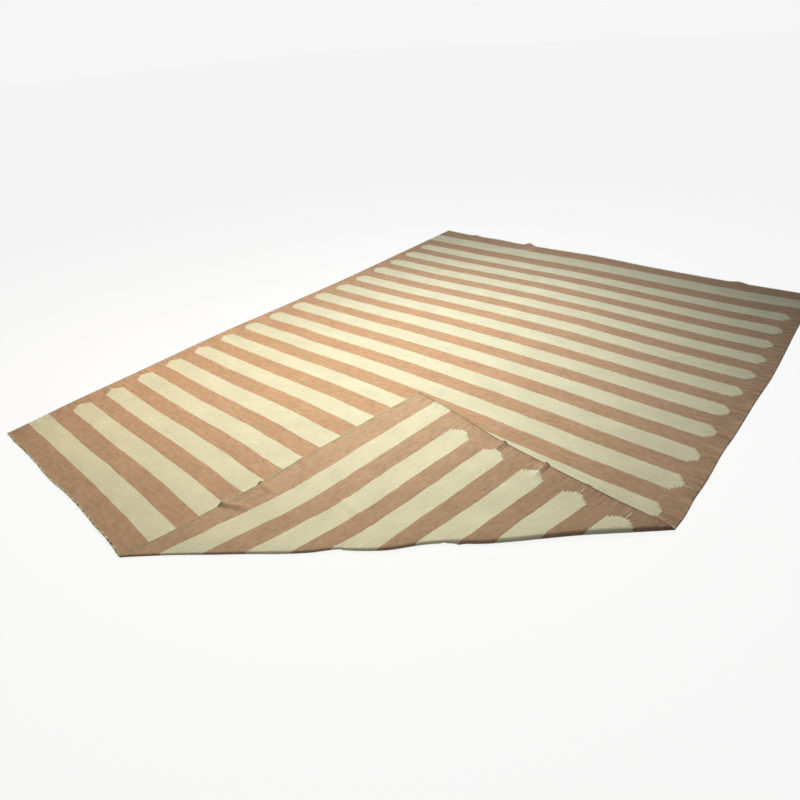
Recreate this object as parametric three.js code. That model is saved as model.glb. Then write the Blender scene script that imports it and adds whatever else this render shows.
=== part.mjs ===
// Dhurrie rug: one flat-woven cotton sheet that lies on the floor, with its near right corner
// turned back over itself in a soft roll. Millimetres, X across the rug, Y along it, Z up.
import * as THREE from 'three';

// The cloth
const THICKNESS = 4;
const LAYER_GAP = 2;
const CLOTH_COLOUR = 0xc8a081;

// The fold line on the floor, from the near end to the right selvedge
const FOLD_START = new THREE.Vector2(1366, 0);
const FOLD_END = new THREE.Vector2(3050, 1463);

// Cloth on each side of the fold line that the roll takes up, and the run in which the
// turned corner sinks from the top of the roll to its rest on the layer below
const FOLD_ZONE = 150;
const SETTLE_RUN = 190;

// The roll, section by section along the fold line: how far it bulges past the line, and its radius
const ROLL = [
  { along: -60, reach: 8, radius: 8 },
  { along: 200, reach: 12, radius: 9 },
  { along: 380, reach: 18, radius: 10 },
  { along: 500, reach: 21, radius: 11 },
  { along: 680, reach: 32, radius: 12 },
  { along: 780, reach: 32, radius: 12 },
  { along: 870, reach: 23, radius: 11 },
  { along: 980, reach: 36, radius: 12 },
  { along: 1090, reach: 39, radius: 12 },
  { along: 1220, reach: 20, radius: 11 },
  { along: 1340, reach: 22, radius: 11 },
  { along: 1460, reach: 30, radius: 12 },
  { along: 1580, reach: 27, radius: 13 },
  { along: 1720, reach: 17, radius: 14 },
  { along: 1850, reach: 9, radius: 15 },
  { along: 2060, reach: 8, radius: 17 },
  { along: 2300, reach: 9, radius: 18 },
];

// The outline as it lies, with the corner thought flat: the ends drift and the selvedges bow
const NEAR_END = [
  { x: 10, y: 84 },
  { x: 130, y: 70 },
  { x: 280, y: 64 },
  { x: 450, y: 56 },
  { x: 600, y: 44 },
  { x: 780, y: 37 },
  { x: 950, y: 34 },
  { x: 1100, y: 19 },
  { x: 1250, y: 10 },
  { x: 1366, y: -8 },
  { x: 1566, y: 14 },
  { x: 1790, y: 25 },
  { x: 2000, y: 27 },
  { x: 2237, y: 12 },
  { x: 2550, y: 4 },
  { x: 2774, y: -6 },
  { x: 3078, y: -2 },
];
const FAR_END = [
  { x: -10, y: 4288 },
  { x: 313, y: 4272 },
  { x: 582, y: 4281 },
  { x: 828, y: 4266 },
  { x: 1200, y: 4280 },
  { x: 1521, y: 4290 },
  { x: 1946, y: 4257 },
  { x: 2483, y: 4247 },
  { x: 3044, y: 4260 },
];
const LEFT_SELVEDGE = [
  { y: 84, x: 10 },
  { y: 270, x: 0 },
  { y: 447, x: -13 },
  { y: 850, x: -21 },
  { y: 1566, x: -36 },
  { y: 2103, x: -18 },
  { y: 2751, x: 0 },
  { y: 3557, x: -7 },
  { y: 4288, x: -10 },
];
const RIGHT_SELVEDGE = [
  { y: -2, x: 3078 },
  { y: 225, x: 3069 },
  { y: 434, x: 3053 },
  { y: 600, x: 3039 },
  { y: 860, x: 3037 },
  { y: 1180, x: 3036 },
  { y: 1463, x: 3048 },
  { y: 1834, x: 3049 },
  { y: 2260, x: 3054 },
  { y: 2953, x: 3068 },
  { y: 3624, x: 3053 },
  { y: 4260, x: 3044 },
];

// Long low swells near the left corner, and small puckers that stand up on the far end
const SWELLS = [
  { x: 280, y: 60, halfWidth: 180, halfLength: 800, height: 6 },
  { x: 780, y: 40, halfWidth: 190, halfLength: 900, height: 6 },
  { x: 420, y: 1900, halfWidth: 260, halfLength: 420, height: 5 },
  { x: 1900, y: 3000, halfWidth: 340, halfLength: 500, height: 5 },
];
const PUCKERS = [
  { x: 335, y: 4272, halfWidth: 70, halfLength: 160, height: 10 },
  { x: 890, y: 4268, halfWidth: 60, halfLength: 190, height: 24 },
  { x: 2575, y: 4248, halfWidth: 70, halfLength: 160, height: 12 },
];

// Mesh steps: flat cloth, turned corner, and along the roll
const FLAT_STEP = 150;
const CORNER_STEP = 90;
const ROLL_STEP = 60;
const ROLL_SHARES = [0, 0.1, 0.2, 0.3, 0.4, 0.5, 0.6, 0.72, 0.86, 1];
const ROUND_SHARE = 0.5;

const foldAlong = FOLD_END.clone().sub(FOLD_START).normalize();
const foldOut = new THREE.Vector2(foldAlong.y, -foldAlong.x);

// Smooth curve through a table: its value at a place, held level past the ends
function smooth(rows, key, value, place) {
  let index = 0;
  while (index < rows.length - 2 && place > rows[index + 1][key]) {
    index += 1;
  }
  const start = rows[index];
  const end = rows[index + 1];
  const before = rows[Math.max(index - 1, 0)];
  const after = rows[Math.min(index + 2, rows.length - 1)];
  const span = end[key] - start[key];
  const startRise = ((end[value] - before[value]) / (end[key] - before[key])) * span;
  const endRise = ((after[value] - start[value]) / (after[key] - start[key])) * span;
  const f = THREE.MathUtils.clamp((place - start[key]) / span, 0, 1);
  const ease = f * f * (3 - 2 * f);
  const startPull = f * (1 - f) * (1 - f);
  const endPull = f * f * (f - 1);
  return start[value] + ease * (end[value] - start[value]) + startPull * startRise + endPull * endRise;
}

// A floor point as its distance along the fold line and its distance past it
function fromFold(point) {
  const offset = point.clone().sub(FOLD_START);
  return { along: offset.dot(foldAlong), past: offset.dot(foldOut) };
}

const nearEnd = (x) => new THREE.Vector2(x, smooth(NEAR_END, 'x', 'y', x));
const farEnd = (x) => new THREE.Vector2(x, smooth(FAR_END, 'x', 'y', x));
const leftSelvedge = (y) => new THREE.Vector2(smooth(LEFT_SELVEDGE, 'y', 'x', y), y);
const rightSelvedge = (y) => new THREE.Vector2(smooth(RIGHT_SELVEDGE, 'y', 'x', y), y);

const nearLeft = new THREE.Vector2(NEAR_END[0].x, NEAR_END[0].y);
const nearRight = new THREE.Vector2(NEAR_END.at(-1).x, NEAR_END.at(-1).y);
const farLeft = new THREE.Vector2(FAR_END[0].x, FAR_END[0].y);
const farRight = new THREE.Vector2(FAR_END.at(-1).x, FAR_END.at(-1).y);

// The roll's size at a place along the fold line
function rollAt(along) {
  const reach = smooth(ROLL, 'along', 'reach', along);
  const radius = smooth(ROLL, 'along', 'radius', along);
  const quarter = (radius * Math.PI) / 2;
  const stretch = (FOLD_ZONE + reach + quarter - radius) / FOLD_ZONE;
  return { reach, radius, quarter, stretch };
}

// Height of swells and puckers at a floor point, nothing outside their rims
function lift(point) {
  let height = 0;
  for (const bump of [...SWELLS, ...PUCKERS]) {
    const across = (point.x - bump.x) / bump.halfWidth;
    const along = (point.y - bump.y) / bump.halfLength;
    const inside = Math.max(0, 1 - across * across - along * along);
    height += bump.height * inside * inside;
  }
  return height;
}

// Where the middle of the cloth lies, from its flat place by the fold line
function lay(along, past) {
  const { reach, radius, quarter, stretch } = rollAt(along);
  const depth = Math.abs(past);
  const run = Math.min(depth, FOLD_ZONE) * stretch + Math.max(depth - FOLD_ZONE, 0);
  const over = past > 0;
  let out = reach - radius - (run - quarter);
  let rise = 0;
  if (run < quarter) {
    const turn = run / radius;
    out = reach - radius + radius * Math.cos(turn);
    rise = radius + (over ? 1 : -1) * radius * Math.sin(turn);
  } else if (over) {
    const rest = THICKNESS + LAYER_GAP;
    const sunk = THREE.MathUtils.smoothstep(run - quarter, 0, SETTLE_RUN);
    rise = THREE.MathUtils.lerp(2 * radius, rest, sunk);
  }
  const floor = FOLD_START.clone();
  floor.addScaledVector(foldAlong, along);
  floor.addScaledVector(foldOut, out);
  const bump = over ? 0 : lift(floor);
  return new THREE.Vector3(floor.x, floor.y, THICKNESS / 2 + rise + bump);
}

// The cloth's upward face direction at a flat place, from the slope of its middle
function faceOut(along, past) {
  const step = 0.5;
  const lengthwise = lay(along + step, past).sub(lay(along - step, past));
  const crosswise = lay(along, past + step).sub(lay(along, past - step));
  return crosswise.cross(lengthwise).normalize();
}

// Where an edge meets a line of cloth that runs beside the fold line at a given distance past it
function meet(edge, from, to, level) {
  const beyond = (place) => {
    const spot = fromFold(edge(place));
    return Math.sign(spot.past - level(spot.along));
  };
  const side = beyond(from);
  let low = from;
  let high = to;
  for (let step = 0; step < 50; step += 1) {
    const middle = (low + high) / 2;
    if (beyond(middle) === side) {
      low = middle;
    } else {
      high = middle;
    }
  }
  return fromFold(edge(low)).along;
}

// One row of cloth points beside the fold line, from outline to outline
function clothRow(level, spacing) {
  const clears = (corner) => {
    const spot = fromFold(corner);
    return spot.past <= level(spot.along);
  };
  const start = clears(nearLeft)
    ? meet(nearEnd, nearLeft.x, nearRight.x, level)
    : meet(leftSelvedge, nearLeft.y, farLeft.y, level);
  const end = clears(farRight)
    ? meet(rightSelvedge, farRight.y, nearRight.y, level)
    : meet(farEnd, farRight.x, farLeft.x, level);
  const count = Math.max(0, Math.round((end - start) / spacing));
  const row = [];
  for (let index = 0; index <= count; index += 1) {
    const along = count === 0 ? start : THREE.MathUtils.lerp(start, end, index / count);
    row.push({ along, past: level(along) });
  }
  return row;
}

// Even levels from one distance to another, both ends left out
function between(from, to, spacing) {
  const count = Math.ceil((to - from) / spacing);
  return Array.from({ length: count - 1 }, (_, index) => from + ((index + 1) * (to - from)) / count);
}

// All rows, from the far left corner of the flat cloth to the tip of the turned corner
function clothRows() {
  const corners = [farLeft, farRight, nearLeft].map((corner) => fromFold(corner).past);
  const peaks = PUCKERS.flatMap(({ x, halfWidth }) =>
    [x - halfWidth, x, x + halfWidth].map((place) => fromFold(farEnd(place)).past));
  const marks = [...corners, ...peaks, -FOLD_ZONE].sort((a, b) => a - b);
  const levels = marks.flatMap((mark, index) =>
    index === 0 ? [mark] : [...between(marks[index - 1], mark, FLAT_STEP), mark]);
  levels.pop();
  const flatRows = levels.map((past) => clothRow(() => past, FLAT_STEP));
  const shares = [...ROLL_SHARES.slice(1).map((share) => -share).reverse(), ...ROLL_SHARES];
  const rollRows = shares.map((share) => clothRow((along) => rollLevel(along, share), ROLL_STEP));
  const tip = fromFold(nearRight).past;
  const cornerLevels = [...between(FOLD_ZONE, tip, CORNER_STEP), tip];
  const cornerRows = cornerLevels.map((past) => clothRow(() => past, CORNER_STEP));
  return [...flatRows, ...rollRows, ...cornerRows];
}

// Distance past the fold line of a row in the roll: half of the shares lie on its round part
function rollLevel(along, share) {
  const { quarter, stretch } = rollAt(along);
  const round = quarter / stretch;
  const part = Math.abs(share) / ROUND_SHARE;
  const past = part <= 1 ? round * part : THREE.MathUtils.lerp(round, FOLD_ZONE, part - 1);
  return Math.sign(share) * past;
}

// Triangles between two rows of points, walked along both together
function weave(lower, upper, triangle) {
  let i = 0;
  let j = 0;
  while (i < lower.length - 1 || j < upper.length - 1) {
    const nextLower = i < lower.length - 1 ? (i + 1) / (lower.length - 1) : Infinity;
    const nextUpper = j < upper.length - 1 ? (j + 1) / (upper.length - 1) : Infinity;
    if (nextLower <= nextUpper) {
      triangle(lower[i], lower[i + 1], upper[j]);
      i += 1;
    } else {
      triangle(lower[i], upper[j + 1], upper[j]);
      j += 1;
    }
  }
}

// The closed sheet: both faces of the cloth and the narrow wall round its outline
function clothGeometry(rows) {
  const positions = [];
  const faces = [];
  const addPoint = (spot, side) => {
    const point = lay(spot.along, spot.past);
    point.addScaledVector(faceOut(spot.along, spot.past), (side * THICKNESS) / 2);
    positions.push(point.x, point.y, Math.max(point.z, 0));
    return positions.length / 3 - 1;
  };
  const top = rows.map((row) => row.map((spot) => addPoint(spot, 1)));
  const bottom = rows.map((row) => row.map((spot) => addPoint(spot, -1)));
  for (let index = 1; index < rows.length; index += 1) {
    weave(top[index - 1], top[index], (a, b, c) => faces.push(a, c, b));
    weave(bottom[index - 1], bottom[index], (a, b, c) => faces.push(a, b, c));
    wall(faces, [top, bottom], index, 0);
    wall(faces, [top, bottom], index, -1);
  }
  const geometry = new THREE.BufferGeometry();
  geometry.setAttribute('position', new THREE.Float32BufferAttribute(positions, 3));
  geometry.setIndex(faces);
  geometry.computeVertexNormals();
  return geometry;
}

// Two triangles of the outline wall, at the first or the last point of two neighbouring rows
function wall(faces, [top, bottom], index, place) {
  const a = top[index - 1].at(place);
  const b = top[index].at(place);
  const c = bottom[index].at(place);
  const d = bottom[index - 1].at(place);
  if (place === 0) {
    faces.push(a, d, c, a, c, b);
  } else {
    faces.push(a, b, c, a, c, d);
  }
}

const cloth = new THREE.MeshStandardMaterial({ color: CLOTH_COLOUR, roughness: 0.95, metalness: 0 });
const rug = new THREE.Mesh(clothGeometry(clothRows()), cloth);
rug.name = 'rug';

// The origin is on the floor under the middle of the rug's box
const middle = new THREE.Box3().setFromObject(rug).getCenter(new THREE.Vector3());
rug.position.set(-middle.x, -middle.y, 0);

const dhurrie = new THREE.Group();
dhurrie.add(rug);
export default dhurrie;
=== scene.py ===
"""Dhurrie rug: a flat-woven cotton rug that lies on the floor, its near right corner turned back over it.

Metres, X across the rug, Y along it, Z up. Plan places are measured from the near left corner, with the
turned corner thought flat; the whole is then moved so that its middle stands over the frame's origin.
"""

from math import cos, pi, radians, sin

import bmesh
import bpy
import numpy as np
from mathutils import Matrix, Vector


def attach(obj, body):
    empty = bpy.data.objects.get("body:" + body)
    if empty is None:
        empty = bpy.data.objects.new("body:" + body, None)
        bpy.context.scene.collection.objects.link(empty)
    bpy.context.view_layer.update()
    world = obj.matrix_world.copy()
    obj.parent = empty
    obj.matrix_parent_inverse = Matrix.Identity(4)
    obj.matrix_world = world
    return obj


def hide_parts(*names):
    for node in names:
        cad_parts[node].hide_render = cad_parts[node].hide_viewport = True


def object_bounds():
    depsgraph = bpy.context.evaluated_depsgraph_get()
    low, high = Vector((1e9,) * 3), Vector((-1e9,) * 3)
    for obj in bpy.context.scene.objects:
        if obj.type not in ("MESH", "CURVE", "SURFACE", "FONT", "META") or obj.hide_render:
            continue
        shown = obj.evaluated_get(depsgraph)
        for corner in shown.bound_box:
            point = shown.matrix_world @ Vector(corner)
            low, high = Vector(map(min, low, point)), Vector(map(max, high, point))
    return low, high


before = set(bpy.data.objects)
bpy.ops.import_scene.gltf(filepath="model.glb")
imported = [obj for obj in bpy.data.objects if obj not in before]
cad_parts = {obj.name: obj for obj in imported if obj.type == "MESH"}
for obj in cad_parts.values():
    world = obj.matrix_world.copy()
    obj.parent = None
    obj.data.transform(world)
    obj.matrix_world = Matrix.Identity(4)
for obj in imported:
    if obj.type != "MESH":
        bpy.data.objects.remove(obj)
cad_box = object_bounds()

bl_info = {
    "name": "Dhurrie rug",
    "version": (1, 0, 0),
    "blender": (4, 5, 0),
    "location": "3D View > Sidebar > Dhurrie",
    "description": "Weaves a room-size striped cotton rug with one corner turned back",
    "category": "Object",
}

NODE = "rug"


def table(columns, rows):
    """A short table of numbers, as one array for each named column."""
    return dict(zip(columns.split(), np.array(rows, dtype=float).T))


# The fold line on the floor, from the near end to the right selvedge
FOLD_START = np.array([1.366, 0.0])
FOLD_END = np.array([3.050, 1.463])

# Cloth on each side of the fold line that the roll takes up, the run in which the turned corner sinks
# from the top of the roll to its rest, and the air left between the two layers
FOLD_ZONE = 0.150
SETTLE_RUN = 0.190
LAYER_GAP = 0.002

# The roll along the fold line: how far it bulges past the line, and its radius
ROLL = table(
    "along reach radius",
    [
        (-0.060, 0.002, 0.0042),
        (0.200, 0.004, 0.0046),
        (0.380, 0.013, 0.0055),
        (0.500, 0.018, 0.0060),
        (0.680, 0.028, 0.0065),
        (0.780, 0.028, 0.0065),
        (0.870, 0.019, 0.0060),
        (0.980, 0.032, 0.0070),
        (1.090, 0.035, 0.0075),
        (1.220, 0.017, 0.0080),
        (1.310, 0.014, 0.0090),
        (1.460, 0.027, 0.0100),
        (1.580, 0.024, 0.0110),
        (1.720, 0.015, 0.0120),
        (1.850, 0.0075, 0.0125),
        (2.060, 0.0055, 0.0125),
        (2.300, 0.001, 0.0100),
    ],
)

# The outline as it lies: the ends drift and the selvedges bow
NEAR_END = table(
    "x y",
    [
        (0.012, 0.088),
        (0.110, 0.079),
        (0.280, 0.073),
        (0.430, 0.065),
        (0.560, 0.053),
        (0.640, 0.049),
        (0.780, 0.049),
        (0.900, 0.044),
        (1.020, 0.034),
        (1.110, 0.025),
        (1.190, 0.021),
        (1.280, 0.013),
        (1.366, 0.003),
        (1.470, 0.014),
        (1.580, 0.024),
        (1.790, 0.027),
        (2.000, 0.027),
        (2.237, 0.012),
        (2.550, 0.004),
        (2.774, -0.006),
        (3.078, -0.002),
    ],
)
FAR_END = table(
    "x y",
    [
        (-0.010, 4.284),
        (0.313, 4.264),
        (0.582, 4.273),
        (0.828, 4.258),
        (1.200, 4.272),
        (1.521, 4.282),
        (1.946, 4.249),
        (2.483, 4.240),
        (3.044, 4.256),
    ],
)
LEFT_SELVEDGE = table(
    "y x",
    [
        (0.086, 0.012),
        (0.270, 0.004),
        (0.447, -0.007),
        (0.850, -0.010),
        (1.566, -0.023),
        (2.103, -0.005),
        (2.751, 0.010),
        (3.557, 0.001),
        (4.284, -0.008),
    ],
)
RIGHT_SELVEDGE = table(
    "y x",
    [
        (-0.002, 3.078),
        (0.225, 3.069),
        (0.434, 3.048),
        (0.600, 3.033),
        (0.860, 3.031),
        (1.180, 3.034),
        (1.455, 3.038),
        (1.560, 3.048),
        (1.700, 3.048),
        (1.834, 3.053),
        (2.080, 3.050),
        (2.260, 3.057),
        (2.620, 3.060),
        (2.953, 3.068),
        (3.624, 3.053),
        (4.256, 3.044),
    ],
)

# Low swells in the lying cloth, and puckers that stand up on the far end
SWELLS = table(
    "x y half_width half_length height",
    [
        (0.280, 0.060, 0.180, 0.800, 0.006),
        (0.780, 0.040, 0.190, 0.900, 0.006),
        (0.420, 1.900, 0.260, 0.420, 0.005),
        (1.900, 3.000, 0.340, 0.500, 0.005),
        (0.335, 4.272, 0.070, 0.160, 0.010),
        (0.890, 4.268, 0.060, 0.190, 0.024),
        (2.575, 4.248, 0.070, 0.160, 0.012),
    ],
)

# Soft creases in the turned corner and over the roll: a line from one place along and past the fold
# line to another, where it fades, and how far it stands out or in
CREASES = table(
    "along1 past1 along2 past2 half_width height",
    [
        (0.342, 0.286, 0.520, 0.232, 0.023, 0.018),
        (0.508, 0.414, 0.610, 0.316, 0.020, 0.012),
        (0.690, 0.560, 0.790, 0.440, 0.030, 0.006),
        (0.905, 0.260, 1.040, 0.060, 0.026, 0.007),
        (0.890, -0.004, 0.985, 0.045, 0.013, -0.004),
        (1.310, -0.006, 1.280, 0.070, 0.012, -0.005),
        (1.372, -0.004, 1.330, 0.110, 0.022, 0.005),
        (1.683, 0.627, 1.593, 0.549, 0.018, 0.012),
        (1.838, 0.443, 1.728, 0.347, 0.018, 0.013),
        (1.990, 0.300, 1.930, 0.230, 0.022, 0.006),
        (1.460, 0.040, 1.560, 0.200, 0.030, 0.004),
        (0.640, 0.020, 0.700, 0.150, 0.030, 0.003),
    ],
)

# How far the edges of the turned corner stand off the cloth below, and the width that curls
SELVEDGE_CURL = 0.006
END_CURL = 0.003
CURL_WIDTH = 0.035

# How far the woven passes have drifted along the rug, across it and up it
DRIFT_ACROSS = np.array([0.0, 0.600, 1.100, 1.500, 2.100, 2.600, 3.050])
DRIFT_UP = np.array([0.0, 0.800, 1.500, 2.300, 3.300, 4.250])
DRIFT = np.array(
    [
        (0.044, 0.018, -0.015, -0.046, -0.002, -0.027, -0.047),
        (0.029, 0.001, -0.007, -0.027, 0.011, 0.000, -0.005),
        (-0.010, -0.003, 0.014, 0.010, 0.001, -0.021, -0.024),
        (-0.031, -0.012, 0.012, 0.022, 0.020, 0.002, -0.007),
        (-0.016, -0.015, 0.009, 0.022, 0.005, -0.018, -0.012),
        (0.001, -0.007, -0.007, 0.005, -0.020, -0.029, -0.002),
    ]
)
DRIFT_START = 0.045

# How far the passes have slipped back where they turn over the roll, the run on each side in which they
# do, and the stretch of the fold line where it shows: fully from one place, and fading out to another
ROLL_SLIP = 0.036
SLIP_RUN = 0.280
SLIP_START = 0.8
SLIP_END = 2.1
SLIP_FADE = 0.4

# The cream bars on the loom, near to far: where each begins and ends along the warp, and how far its
# points stop from the left and the right selvedge; the first and the last run the whole width
BARS = table(
    "start end left right",
    [
        (0.117, 0.233, 0.058, 0.090),
        (0.338, 0.455, 0.068, 0.074),
        (0.549, 0.664, 0.065, 0.070),
        (0.764, 0.884, 0.055, 0.068),
        (0.982, 1.109, 0.054, 0.068),
        (1.212, 1.331, 0.058, 0.087),
        (1.441, 1.557, 0.057, 0.080),
        (1.663, 1.785, 0.045, 0.066),
        (1.887, 2.011, 0.046, 0.073),
        (2.113, 2.239, 0.048, 0.073),
        (2.337, 2.465, 0.049, 0.078),
        (2.561, 2.688, 0.063, 0.075),
        (2.786, 2.908, 0.065, 0.072),
        (3.010, 3.131, 0.061, 0.066),
        (3.229, 3.351, 0.063, 0.073),
        (3.454, 3.580, 0.054, 0.065),
        (3.681, 3.804, 0.056, 0.063),
        (3.928, 4.086, 0.048, 0.071),
    ],
)
BAR_COUNT = len(BARS["start"])

# A phase counts the bars: each bar takes the second half of its own, and a last half is tan. The bars
# whose ends are pointed lie between the inner phases
LAST_PHASE = BAR_COUNT + 0.5
BAR_MIDDLE = 0.75
HALF_BAR = 0.25
FIRST_INNER = 1.0
LAST_INNER = BAR_COUNT - 0.75

# The tips of the bars in the regular pattern, metres from the left and the right selvedge; the share of
# half a bar's height that the blunt tip takes and that each step takes; the notch at the foot of a step
# and the share of the step that it takes; and how much longer the steps on the right are
TIP_LEFT = 0.050
TIP_RIGHT = 0.080
BLUNT_LEFT = 0.22
BLUNT_RIGHT = 0.36
STEP_RISE = 0.213
NOTCH = 0.0045
NOTCH_SHARE = 0.35
RIGHT_STRETCH = 0.35

# How far a bar's edges waver, in phases, how near the first and last phase they may come, and how
# ragged the steps are, in metres
WAVER = 0.045
PHASE_MARGIN = 0.01
RAGGED = 0.012

# The thin line that runs on from some tips, and the slit beside it where the line is hidden, which the
# cloth's colour darkens as painted shade: half widths and place as shares of half a bar's height, where in
# the noise the line starts to show and how fast it comes in, and how strongly each shows at most
TICK_HALF = 0.045
TICK_RAMP = (0.40, 6)
TICK_MOST = 0.75
SLIT_HALF = 0.05
SLIT_PLACE = 0.13
SLIT_MOST = 1.1


def display(red, green, blue):
    """A colour as it shows on a screen, 0 to 255, in the linear light that materials use."""
    shares = np.array([red, green, blue]) / 255
    return tuple(np.where(shares <= 0.04045, shares / 12.92, ((shares + 0.055) / 1.055) ** 2.4))


class DhurrieSizes(bpy.types.PropertyGroup):
    """Sizes of the cloth and of its weave"""

    width: bpy.props.FloatProperty(
        name="Width", description="Loom width, selvedge to selvedge", default=3.05, unit="LENGTH"
    )
    length: bpy.props.FloatProperty(
        name="Length", description="Woven length, end to end", default=4.22, unit="LENGTH"
    )
    thickness: bpy.props.FloatProperty(
        name="Thickness", description="Thickness of the flat weave", default=0.004, unit="LENGTH"
    )
    rib: bpy.props.FloatProperty(
        name="Rib", description="Distance between warp ribs", default=0.0030, precision=4, unit="LENGTH"
    )
    passing: bpy.props.FloatProperty(
        name="Pass", description="Distance between weft passes", default=0.0018, precision=4, unit="LENGTH"
    )
    step_run: bpy.props.FloatProperty(
        name="Step", description="Length of each step in a bar's pointed end", default=0.0078, unit="LENGTH"
    )
    tick: bpy.props.FloatProperty(
        name="Tick",
        description="Length of the thin line that runs on from a tip",
        default=0.051,
        unit="LENGTH",
    )
    ply: bpy.props.FloatProperty(
        name="Ply",
        description="Radius of each ply in the twined ends",
        default=0.0023,
        precision=4,
        unit="LENGTH",
    )
    twist: bpy.props.FloatProperty(
        name="Twist", description="Length of one turn of the twined ends", default=0.015, unit="LENGTH"
    )


class DhurrieColours(bpy.types.PropertyGroup):
    """Colours of the yarns and of the stage"""

    cream: bpy.props.FloatVectorProperty(
        name="Cream",
        description="Undyed cotton of the bars",
        default=display(232, 227, 196),
        subtype="COLOR",
    )
    tan: bpy.props.FloatVectorProperty(
        name="Tan",
        description="Dyed cotton of the ground",
        default=display(205, 164, 126),
        subtype="COLOR",
    )
    olive: bpy.props.FloatVectorProperty(
        name="Olive tan",
        description="Tan where the dye leans to green",
        default=display(193, 161, 117),
        subtype="COLOR",
    )
    pink: bpy.props.FloatVectorProperty(
        name="Pink tan",
        description="Tan where the dye leans to red",
        default=display(209, 157, 122),
        subtype="COLOR",
    )
    faded: bpy.props.FloatVectorProperty(
        name="Faded tan",
        description="Tan on the underside",
        default=display(203, 170, 138),
        subtype="COLOR",
    )
    # Painted shade: a darker, less red tan mixed in towards the rug's rim, where less light falls
    rim_shade: bpy.props.FloatVectorProperty(
        name="Dusty tan",
        description="Tan towards the rug's rim, dulled by dust",
        default=display(189, 155, 126),
        subtype="COLOR",
    )
    end_light: bpy.props.FloatVectorProperty(
        name="Light end yarn",
        description="Cream yarn of the twined ends",
        default=display(234, 228, 198),
        subtype="COLOR",
    )
    end_grey: bpy.props.FloatVectorProperty(
        name="Grey end yarn",
        description="Grey-green yarn of the twined ends",
        default=display(172, 166, 128),
        subtype="COLOR",
    )
    # Painted shade: dark yarn that stands for the shade in the gaps between the turns of the twining
    end_gap_shade: bpy.props.FloatVectorProperty(
        name="Dark end yarn",
        description="Dark yarn of the twined ends",
        default=display(78, 78, 60),
        subtype="COLOR",
    )
    floor: bpy.props.FloatVectorProperty(
        name="Floor", description="Pale studio floor", default=(0.9, 0.9, 0.9), subtype="COLOR"
    )


fold_along = (FOLD_END - FOLD_START) / np.linalg.norm(FOLD_END - FOLD_START)
fold_out = np.array([fold_along[1], -fold_along[0]])


def ease(share):
    """A share from 0 to 1 that starts and ends gently."""
    return share**2 * (3 - 2 * share)


def smooth(rows, key, value, place):
    """A smooth curve through a table, read at every place and held level past its ends."""
    at, to = rows[key], rows[value]
    index = np.clip(np.searchsorted(at, place) - 1, 0, len(at) - 2)
    before = np.maximum(index - 1, 0)
    after = np.minimum(index + 2, len(at) - 1)
    span = at[index + 1] - at[index]
    start_rise = (to[index + 1] - to[before]) / (at[index + 1] - at[before]) * span
    end_rise = (to[after] - to[index]) / (at[after] - at[index]) * span
    share = np.clip((place - at[index]) / span, 0, 1)
    start_pull = share * (1 - share) ** 2
    end_pull = share**2 * (share - 1)
    between = to[index] + ease(share) * (to[index + 1] - to[index])
    return between + start_pull * start_rise + end_pull * end_rise


def from_fold(plan):
    """Plan places as distances along the fold line and past it."""
    offset = plan - FOLD_START
    return offset @ fold_along, offset @ fold_out


def to_plan(along, past):
    """Plan places from distances along the fold line and past it."""
    return FOLD_START + along[..., None] * fold_along + past[..., None] * fold_out


def roll_at(along):
    """The roll's reach and radius, its quarter turn and how much the cloth beside it is let out."""
    reach = smooth(ROLL, "along", "reach", along)
    radius = smooth(ROLL, "along", "radius", along)
    quarter = radius * pi / 2
    stretch = (FOLD_ZONE + reach + quarter - radius) / FOLD_ZONE
    return reach, radius, quarter, stretch


def lift(floor):
    """Height of the swells at floor places, nothing outside their rims."""
    height = np.zeros(floor.shape[:-1])
    for x, y, half_width, half_length, rise in zip(*SWELLS.values()):
        across = (floor[..., 0] - x) / half_width
        along = (floor[..., 1] - y) / half_length
        height += rise * np.maximum(0, 1 - across**2 - along**2) ** 2
    return height


def crease(along, past):
    """How far the creases stand out: soft across, and fading towards the end of each line."""
    place = np.stack([along, past], axis=-1)
    height = np.zeros(along.shape)
    for along1, past1, along2, past2, half_width, rise in zip(*CREASES.values()):
        start = np.array([along1, past1])
        line = np.array([along2, past2]) - start
        share = np.clip((place - start) @ line / (line @ line), 0, 1)
        gap = np.linalg.norm(place - start - share[..., None] * line, axis=-1) / half_width
        height += rise * np.maximum(0, 1 - gap**2) ** 2 * (1 - share**2)
    return height


def curl(plan):
    """How far the edges of the turned corner stand up, from its selvedge and its end inwards."""
    x, y = plan[..., 0], plan[..., 1]
    from_selvedge = np.clip((smooth(RIGHT_SELVEDGE, "y", "x", y) - x) / CURL_WIDTH, 0, 1)
    from_end = np.clip((y - smooth(NEAR_END, "x", "y", x)) / CURL_WIDTH, 0, 1)
    return SELVEDGE_CURL * (1 - from_selvedge) ** 2 + END_CURL * (1 - from_end) ** 2


def lay(along, past, thickness):
    """Where the middle of the cloth lies, from its flat place beside the fold line."""
    reach, radius, quarter, stretch = roll_at(along)
    depth = np.abs(past)
    run = np.minimum(depth, FOLD_ZONE) * stretch + np.maximum(depth - FOLD_ZONE, 0)
    over = past > 0
    turn = np.minimum(run, quarter) / radius
    beyond = np.maximum(run - quarter, 0)
    stand = crease(along, past) * (over | (run < quarter))
    out = reach - radius + (radius + stand) * np.cos(turn) - beyond
    sunk = ease(np.clip(beyond / SETTLE_RUN, 0, 1))
    rest = thickness + LAYER_GAP - 2 * radius
    swing = (radius + stand) * np.sin(turn)
    rise = radius + np.where(over, swing + sunk * (rest + curl(to_plan(along, past))), -swing)
    floor = to_plan(along, out)
    bump = np.where(over, 0, lift(floor))
    return np.concatenate([floor, (thickness / 2 + rise + bump)[..., None]], axis=-1)


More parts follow.
